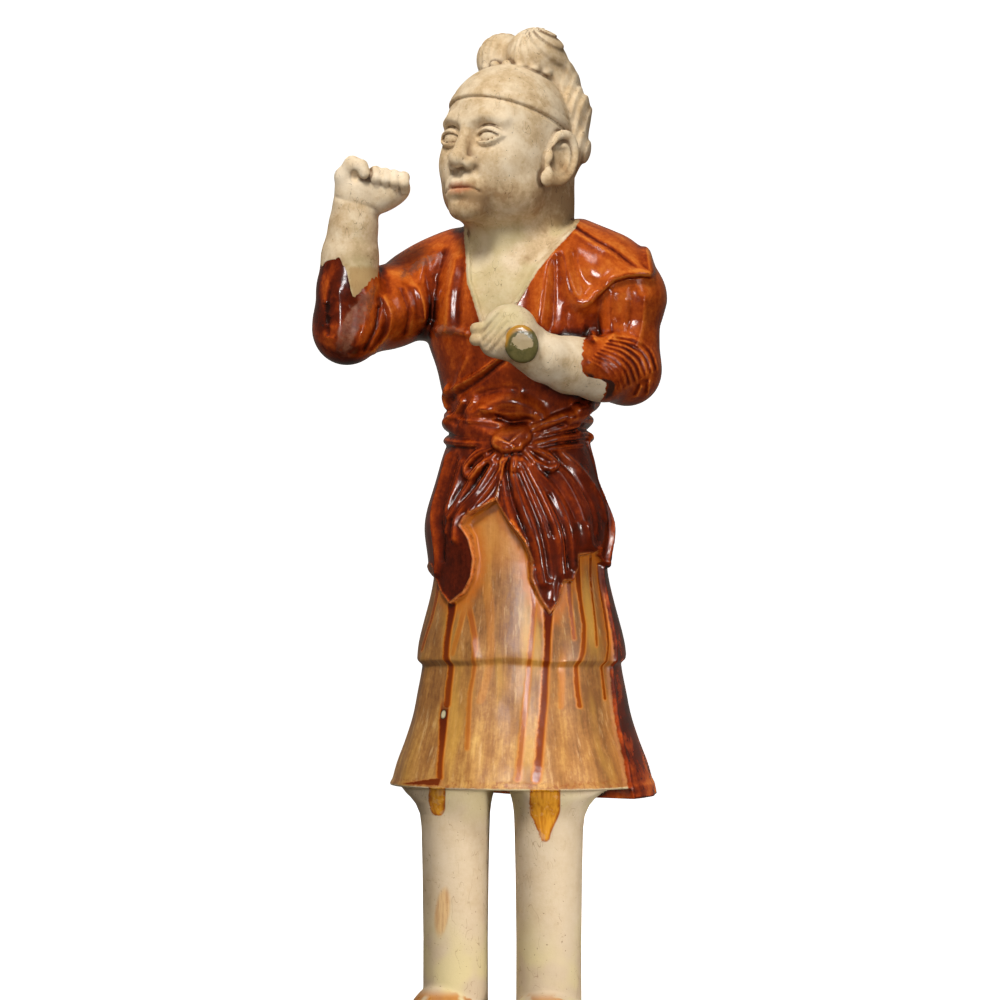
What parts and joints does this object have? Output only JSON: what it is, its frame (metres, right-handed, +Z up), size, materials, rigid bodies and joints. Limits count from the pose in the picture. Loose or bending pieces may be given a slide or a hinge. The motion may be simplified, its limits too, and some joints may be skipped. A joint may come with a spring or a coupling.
{
  "type": "pottery groom figure",
  "caption": "Standing glazed pottery figure of a groom in a belted, hitched-up robe, one fist raised and the other held before the chest, on a low slab.",
  "frame": {"origin": "middle of the slab's underside", "axes": "+Z up, from the slab to the topknot; the figure faces -Y and its own left is +X"},
  "size_m": [0.2001, 0.1639, 0.6229],
  "materials": {
    "glazed_earthenware": "buff earthenware, part bare and part under chestnut and straw-coloured lead glaze"
  },
  "bodies": {
    "root": {"groom_figure": "glazed_earthenware"}
  },
  "joints": []
}
